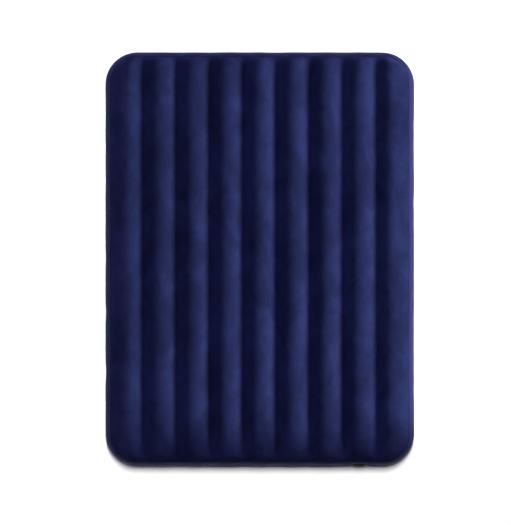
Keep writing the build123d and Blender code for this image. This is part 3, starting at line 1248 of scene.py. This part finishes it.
    def cap_strap(self) -> Piece:
        """Lay the cap's strap from the grip to the lid, with a thin arch over the hinge.

        Returns:
            The strap.
        """
        form = bmesh.new()
        made = bmesh.ops.create_grid(form, x_segments=8, y_segments=24, size=1.0)
        length = self.strap_end - self.strap_start
        for vertex in made["verts"]:
            up = self.strap_start + length * (vertex.co.y + 1) / 2
            near = math.exp(-(((up - self.hinge) / self.hinge_length) ** 2))
            side = vertex.co.x * self.strap_width / 2 * (1 - self.hinge_waist * near)
            out = self.strap_low + self.strap_film / 2 + self.hinge_arch * near
            vertex.co = self.at(up, out, side)
        self.thicken(form, self.strap_film)
        piece = self.stand_in(form, "arched_cap_strap", Slot.CAP_PLASTIC, "cap_strap")
        tuple(self.at(self.hinge + 0.0015, self.strap_low))
        tuple(self.at(self.hinge - 0.0015, self.strap_low))
        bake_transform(piece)
        return piece

    def build(self) -> list[Piece]:
        """Make the lid and both straps."""
        return [self.lid(), self.tether(), self.cap_strap()]


# ------------------------------------------------------------------------------------------- studio


@dataclass
class Studio:
    """Floor, lamps, backdrop and camera."""

    view_height: float = 2.582
    off_centre: tuple[float, float] = (-0.0212, -0.0176)
    lens: float = 200.0
    key_power: float = 745.0
    key_distance: float = 9.0
    key_rises: tuple[float, ...] = (11.0, 13.5, 16.0, 18.5, 21.0, 24.0)
    key_edge: float = -0.83
    key_half_angle: float = math.radians(9)
    key_blend: float = 0.06
    key_radius: float = 0.14
    head_power: float = 8.0
    side_power: float = 50.0
    fill: float = 0.72
    foot_fill: float = 0.02
    fill_colour: Colour = (0.74, 0.64, 1.0)
    floor_size: float = 14.0
    floor_drop: float = 0.0005
    floor_shade: float = 0.1
    floor_seen: float = 0.8
    floor_light_away: float = 20.0
    floor_light_tilt: float = math.radians(79.5)

    def lamp(self, data: bpy.types.Light, place: Vector, aim: Vector) -> Piece:
        """Hang a lamp that the camera doesn't see.

        Args:
            data: the lamp's settings.
            place: where it hangs.
            aim: the point that it faces.

        Returns:
            The lamp.
        """
        lamp = bpy.data.objects.new(data.name, data)
        lamp.location = place
        lamp.rotation_euler = (aim - place).to_track_quat("-Z", "Y").to_euler()
        lamp.visible_camera = False
        bpy.context.scene.collection.objects.link(lamp)
        return lamp

    def panel(
        self, name: str, place: Vector, aim: Vector, size: tuple[float, float], power: float
    ) -> Piece:
        """Add a soft panel lamp.

        Args:
            name: the lamp's name.
            place: where it hangs.
            aim: the point that it faces.
            size: its width and height.
            power: its power in watts.

        Returns:
            The lamp.
        """
        data = bpy.data.lights.new(name, "AREA")
        data.shape = "RECTANGLE"
        data.size, data.size_y = size
        data.energy = power
        return self.lamp(data, place, aim)

    def key(self) -> None:
        """Hang a column of low lamps at the right, whose light ends just short of the foot end."""
        for number, degrees in enumerate(self.key_rises, start=1):
            data = bpy.data.lights.new(f"key_light_{number}", "SPOT")
            data.energy = self.key_power
            data.shadow_soft_size = self.key_radius
            data.spot_size = 2 * self.key_half_angle
            data.spot_blend = self.key_blend
            rise = math.radians(degrees)
            far = self.key_distance * math.cos(rise)
            place = Vector((far, self.key_edge, self.key_distance * math.sin(rise)))
            aim = Vector((0, self.key_edge + far * math.tan(self.key_half_angle), 0.2))
            self.lamp(data, place, aim)

    def floor(self) -> Piece:
        """Lay a plain pale floor, which looks pale but throws little light back.

        Returns:
            The floor.
        """
        form = bmesh.new()
        bmesh.ops.create_grid(form, x_segments=1, y_segments=1, size=self.floor_size)
        bmesh.ops.translate(form, verts=form.verts, vec=(0, 0, -self.floor_drop))
        floor = piece_of(form, "floor")
        material, shader = blank_material("pale_floor")
        tree = material.node_tree
        seen = self.seen_directly(tree)
        pale = mixed(tree, seen, (self.floor_shade,) * 3, (self.floor_seen,) * 3)
        fill(tree, shader, {"Base Color": pale, "Roughness": 1.0, "Specular IOR Level": 0.0})
        floor.data.materials.append(material)
        return floor

    def seen_directly(self, tree: Tree) -> Socket:
        """A mask that is 1 for the camera's own rays, and for reflected and transmitted ones."""
        path = add_node(tree, "LightPath")
        mask = maths(tree, "MAXIMUM", path["Is Camera Ray"], path["Is Glossy Ray"])
        return maths(tree, "MAXIMUM", mask, path["Is Transmission Ray"])

    def world(self) -> None:
        """Light the scene a little from all round, least from the foot, on a white backdrop."""
        world = bpy.data.worlds.new("studio")
        bpy.context.scene.world = world
        world.use_nodes = True
        tree = world.node_tree
        light = tree.nodes["Background"]
        where = add_node(tree, "TexCoord")["Generated"]
        headward = add_node(tree, "SeparateXYZ", {0: where})["Y"]
        bounds = {"From Min": -0.2, "From Max": 0.8, "To Min": self.foot_fill, "To Max": self.fill}
        strength = add_node(tree, "MapRange", {"Value": headward, **bounds})[0]
        fill(tree, light, {"Color": self.fill_colour, "Strength": strength})
        white = add_node(tree, "Background", {"Color": (1.0, 1.0, 1.0), "Strength": 1.0})[0]
        shaders = {0: self.seen_directly(tree), 1: light.outputs[0], 2: white}
        both = add_node(tree, "MixShader", shaders)[0]
        fill(tree, tree.nodes["World Output"], {"Surface": both})

    def camera(self, silhouette_height: float) -> None:
        """Look straight down from far above.

        Args:
            silhouette_height: the height of the mattress's widest line, which the view is sized at.
        """
        data = bpy.data.cameras.new("camera")
        data.lens = self.lens
        data.sensor_width = 36.0
        data.clip_start, data.clip_end = 0.1, 100.0
        away = self.view_height * self.lens / data.sensor_width
        camera = bpy.data.objects.new("camera", data)
        camera.location = (*self.off_centre, silhouette_height + away)
        bpy.context.scene.collection.objects.link(camera)
        bpy.context.scene.camera = camera

    def light_floor(self, floor: Piece) -> None:
        """Light the floor alone from overhead, until it is as white as the backdrop.

        Args:
            floor: the floor.
        """
        away, tilt = self.floor_light_away, self.floor_light_tilt
        place = Vector((0, math.cos(tilt), math.sin(tilt))) * away
        power = math.pi**2 * away**2 / math.sin(tilt) / self.floor_seen
        overhead = self.panel("floor_light", place, Vector((0, 0, 0)), (0.4, 5.0), power)
        lit = bpy.data.collections.new("floor_light_receivers")
        lit.objects.link(floor)
        overhead.light_linking.receiver_collection = lit

    def build(self, silhouette_height: float) -> None:
        """Set up the whole studio.

        Args:
            silhouette_height: the height of the mattress's widest line.
        """
        floor = self.floor()
        self.world()
        self.camera(silhouette_height)
        self.key()
        side, edge = Vector((-6.0, 0, 0.22)), Vector((-0.75, 0, 0.1))
        self.panel("side_fill", side, edge, (3.0, 0.4), self.side_power)
        head, top = Vector((-0.6, 4.2, 4.2)), Vector((0, 0, 0.2))
        self.panel("head_fill", head, top, (3.0, 2.0), self.head_power)
        self.light_floor(floor)
        bpy.context.scene.view_settings.view_transform = "Standard"


def main() -> None:
    """Build the mattress, its valve and the studio."""
    wardrobe, shape, valve = Wardrobe(), MattressShape(), ValvePlace()
    for parts in (
        MattressSkin(shape, valve, wardrobe),
        CarriedParts(wardrobe),
        ValveFittings(valve, wardrobe),
    ):
        for piece in parts.build():
            log.info("dressed %s", piece.name)
    Studio().build(shape.middle)


if __name__ == "__main__":
    main()
